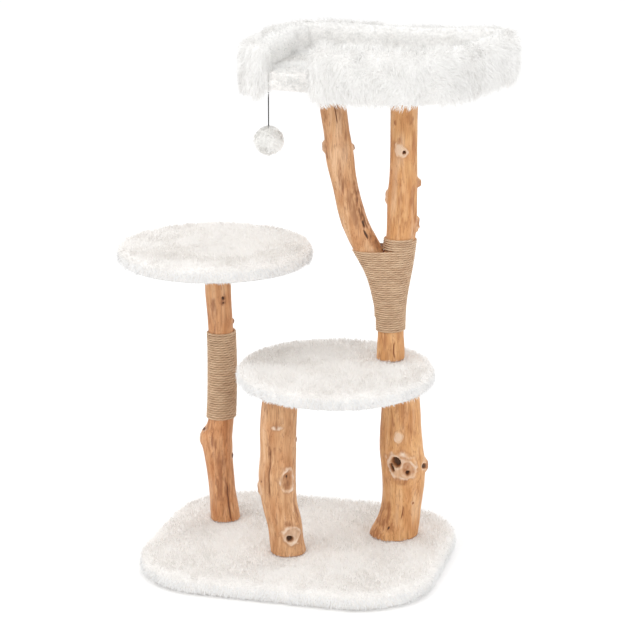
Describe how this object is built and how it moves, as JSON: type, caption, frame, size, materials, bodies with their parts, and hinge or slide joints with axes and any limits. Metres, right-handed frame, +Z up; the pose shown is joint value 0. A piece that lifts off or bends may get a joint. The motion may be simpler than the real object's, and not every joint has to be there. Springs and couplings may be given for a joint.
{
  "type": "cat tree",
  "caption": "Cat tree of peeled branches with sisal rope wraps, round plush platforms, a walled plush bed with a gap at its front, and a pompom hanging on a cord.",
  "frame": {"origin": "on the floor, under the middle of the base", "axes": "+Z up, +X to the right and +Y to the back, seen from the front, where the bed has its gap"},
  "size_m": [0.7338, 0.558, 1],
  "materials": {
    "plush": "short white plush",
    "long_plush": "long white faux fur",
    "lining": "thin white non-woven sheet",
    "wood": "peeled branch, sanded, clear matt lacquer",
    "chipboard": "raw chipboard",
    "sisal": "laid sisal rope",
    "steel": "zinc plated",
    "toy_cord": "dark braided cord"
  },
  "bodies": {
    "tree": {"base_backing": "lining", "base_board": "chipboard", "base_cover": "plush", "left_post": "wood", "left_post_rope": "sisal", "left_post_washer": "steel", "left_post_bolt": "steel", "left_platform_backing": "lining", "left_platform_board": "chipboard", "left_platform_cover": "plush", "left_platform_nut": "steel", "left_platform_stud": "steel", "front_log": "wood", "right_log": "wood", "front_post_washer": "steel", "front_post_bolt": "steel", "right_post_washer": "steel", "right_post_bolt": "steel", "middle_platform_backing": "lining", "middle_platform_board": "chipboard", "middle_platform_cover": "plush", "middle_platform_nut": "steel", "middle_platform_stud": "steel", "trunk_stud": "steel", "trunk": "wood", "branch": "wood", "fork_rope": "sisal", "fork_screw_1": "steel", "fork_screw_2": "steel", "bed_board": "chipboard", "bed_underside": "lining", "bed_pad": "plush", "bed_wall": "long_plush", "branch_bed_stud": "steel", "branch_bed_nut": "steel", "trunk_bed_stud": "steel", "trunk_bed_nut": "steel", "toy_screw_eye": "steel"},
    "toy_loop": {"toy_loop": "steel"},
    "toy": {"toy_knot": "toy_cord", "toy_cord": "toy_cord", "toy_pompom": "long_plush"}
  },
  "joints": [
    {"name": "loop_swing", "type": "hinge", "parent": "tree", "child": "toy_loop", "pos_m": [-0.056, -0.007, 0.908], "axis": [1, 0, 0], "range_deg": [-35, 35]},
    {"name": "toy_swing", "type": "hinge", "parent": "toy_loop", "child": "toy", "pos_m": [-0.056, -0.007, 0.9046], "axis": [0, 1, 0], "range_deg": [-35, 35]}
  ]
}
